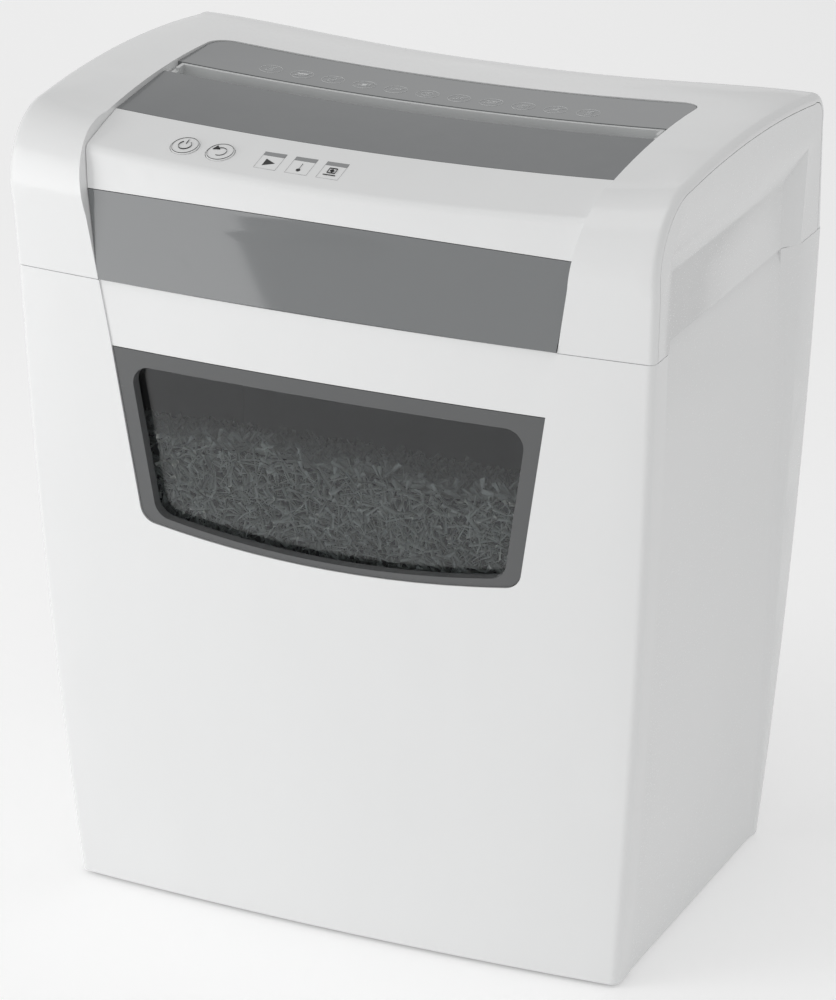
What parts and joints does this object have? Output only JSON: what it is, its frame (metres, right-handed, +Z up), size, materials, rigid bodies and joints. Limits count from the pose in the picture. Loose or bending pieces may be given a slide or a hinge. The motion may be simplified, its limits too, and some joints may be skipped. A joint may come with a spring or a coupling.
{
  "type": "paper shredder",
  "caption": "Free-standing paper shredder: a head with a top feed slot, cutting unit and controls on a tapered cabinet with a pull-out bin and window.",
  "frame": {"origin": "on the floor, under the middle of the overall box", "axes": "+Z up, -Y towards the front with the bin and its window, +X to the right seen from the front"},
  "size_m": [0.3658, 0.2429, 0.4459],
  "materials": {
    "white_gloss": "glossy white moulded shell",
    "grey_gloss": "smoky grey glossy cover plate",
    "dark_frame": "dark grey window bezel",
    "smoke_pane": "tinted clear window",
    "throat_grey": "light grey inner moulding",
    "tub_grey": "dark grey bin moulding",
    "paper": "cross-cut paper shreds",
    "button_white": "glossy white key",
    "lens_grey": "frosted light bar",
    "black_plastic": "black moulding",
    "nylon": "natural nylon",
    "gear_steel": "sintered steel",
    "hardened_steel": "hardened oiled steel",
    "zinc_steel": "zinc plated sheet",
    "motor_steel": "painted motor can",
    "bearing_bronze": "sintered bronze",
    "board_green": "circuit board",
    "component_black": "electronic parts",
    "rubber_grey": "rubber foot",
    "screw_steel": "plated screw"
  },
  "bodies": {
    "cabinet": {"cabinet_left_wall": "white_gloss", "cabinet_right_wall": "white_gloss", "cabinet_rear_panel": "white_gloss", "cabinet_base": "tub_grey", "rubber_feet": "rubber_grey", "bin_runners": "throat_grey", "head_left_cover": "white_gloss", "head_right_cover": "white_gloss", "head_top_cover": "white_gloss", "head_bottom_tray": "tub_grey", "control_panel": "white_gloss", "front_band": "grey_gloss", "front_top_plate": "grey_gloss", "rear_top_plate": "grey_gloss", "centre_frame": "tub_grey", "feed_throat": "throat_grey", "indicator_lenses": "lens_grey", "button_board": "board_green", "switches": "component_black", "stripper_comb_front": "black_plastic", "stripper_comb_rear": "black_plastic", "tie_rods": "zinc_steel", "left_side_plate": "zinc_steel", "right_side_plate": "zinc_steel", "shaft_bushes": "bearing_bronze", "pivot_pins": "zinc_steel", "gear_plate": "zinc_steel", "spacer_posts": "zinc_steel", "motor_can": "motor_steel", "motor_front_cap": "motor_steel", "motor_rear_cap": "motor_steel", "sensor_bracket": "black_plastic", "mains_inlet": "black_plastic", "rocker_frame": "black_plastic", "control_board": "board_green", "board_posts": "nylon", "board_parts": "component_black", "rear_screws": "screw_steel"},
    "bin": {"bin_front_panel": "white_gloss", "window_frame": "dark_frame", "window_pane": "smoke_pane", "bin_tub": "tub_grey", "shredded_paper": "paper"},
    "power_button": {"power_button": "button_white"},
    "reverse_button": {"reverse_button": "button_white"},
    "paper_sensor": {"paper_sensor_lever": "black_plastic"},
    "interlock": {"interlock_plunger": "throat_grey"},
    "rocker": {"rocker_paddle": "black_plastic"},
    "motor_rotor": {"motor_rotor": "gear_steel", "motor_fan": "black_plastic", "motor_pinion": "gear_steel"},
    "first_gear": {"first_gear": "nylon"},
    "second_gear": {"second_gear": "nylon"},
    "cutter_rear": {"cutter_shaft_rear": "hardened_steel", "cutter_discs_rear": "hardened_steel", "sync_gear_rear": "gear_steel", "drive_gear": "gear_steel"},
    "cutter_front": {"cutter_shaft_front": "hardened_steel", "cutter_discs_front": "hardened_steel", "sync_gear_front": "gear_steel"}
  },
  "joints": [
    {"name": "bin_slide", "type": "slide", "parent": "cabinet", "child": "bin", "axis": [0, -1, 0], "range_m": [0, 0.26]},
    {"name": "power_press", "type": "slide", "parent": "cabinet", "child": "power_button", "axis": [0, 0.268, -0.9634], "range_m": [0, 0.0012], "stiffness_N_per_m": 400},
    {"name": "reverse_press", "type": "slide", "parent": "cabinet", "child": "reverse_button", "axis": [0, 0.268, -0.9634], "range_m": [0, 0.0012], "stiffness_N_per_m": 400},
    {"name": "sensor_tilt", "type": "hinge", "parent": "cabinet", "child": "paper_sensor", "pos_m": [0, -0.0245, 0.424], "axis": [-1, 0, 0], "range_deg": [0, 20], "stiffness_Nm_per_rad": 0.004},
    {"name": "interlock_lift", "type": "slide", "parent": "cabinet", "child": "interlock", "axis": [0, 0, 1], "range_m": [0, 0.002], "stiffness_N_per_m": 300},
    {"name": "rocker_tip", "type": "hinge", "parent": "cabinet", "child": "rocker", "pos_m": [0.084, 0.1119, 0.378], "axis": [1, 0, 0], "range_deg": [0, 16]},
    {"name": "motor_spin", "type": "hinge", "parent": "cabinet", "child": "motor_rotor", "pos_m": [0, 0.086, 0.396], "axis": [1, 0, 0], "continuous": true},
    {"name": "first_gear_spin", "type": "hinge", "parent": "cabinet", "child": "first_gear", "pos_m": [0, 0.06239, 0.38839], "axis": [1, 0, 0], "continuous": true},
    {"name": "second_gear_spin", "type": "hinge", "parent": "cabinet", "child": "second_gear", "pos_m": [0, 0.03792, 0.402], "axis": [1, 0, 0], "continuous": true},
    {"name": "cutter_rear_spin", "type": "hinge", "parent": "cabinet", "child": "cutter_rear", "pos_m": [0, 0.007, 0.392], "axis": [1, 0, 0], "continuous": true},
    {"name": "cutter_front_spin", "type": "hinge", "parent": "cabinet", "child": "cutter_front", "pos_m": [0, -0.029, 0.392], "axis": [1, 0, 0], "continuous": true}
  ],
  "couplings": [
    {"joint": "first_gear_spin", "follows": "motor_spin", "ratio": -0.24},
    {"joint": "second_gear_spin", "follows": "motor_spin", "ratio": 0.065455},
    {"joint": "cutter_rear_spin", "follows": "motor_spin", "ratio": -0.019636},
    {"joint": "cutter_front_spin", "follows": "motor_spin", "ratio": 0.019636}
  ]
}
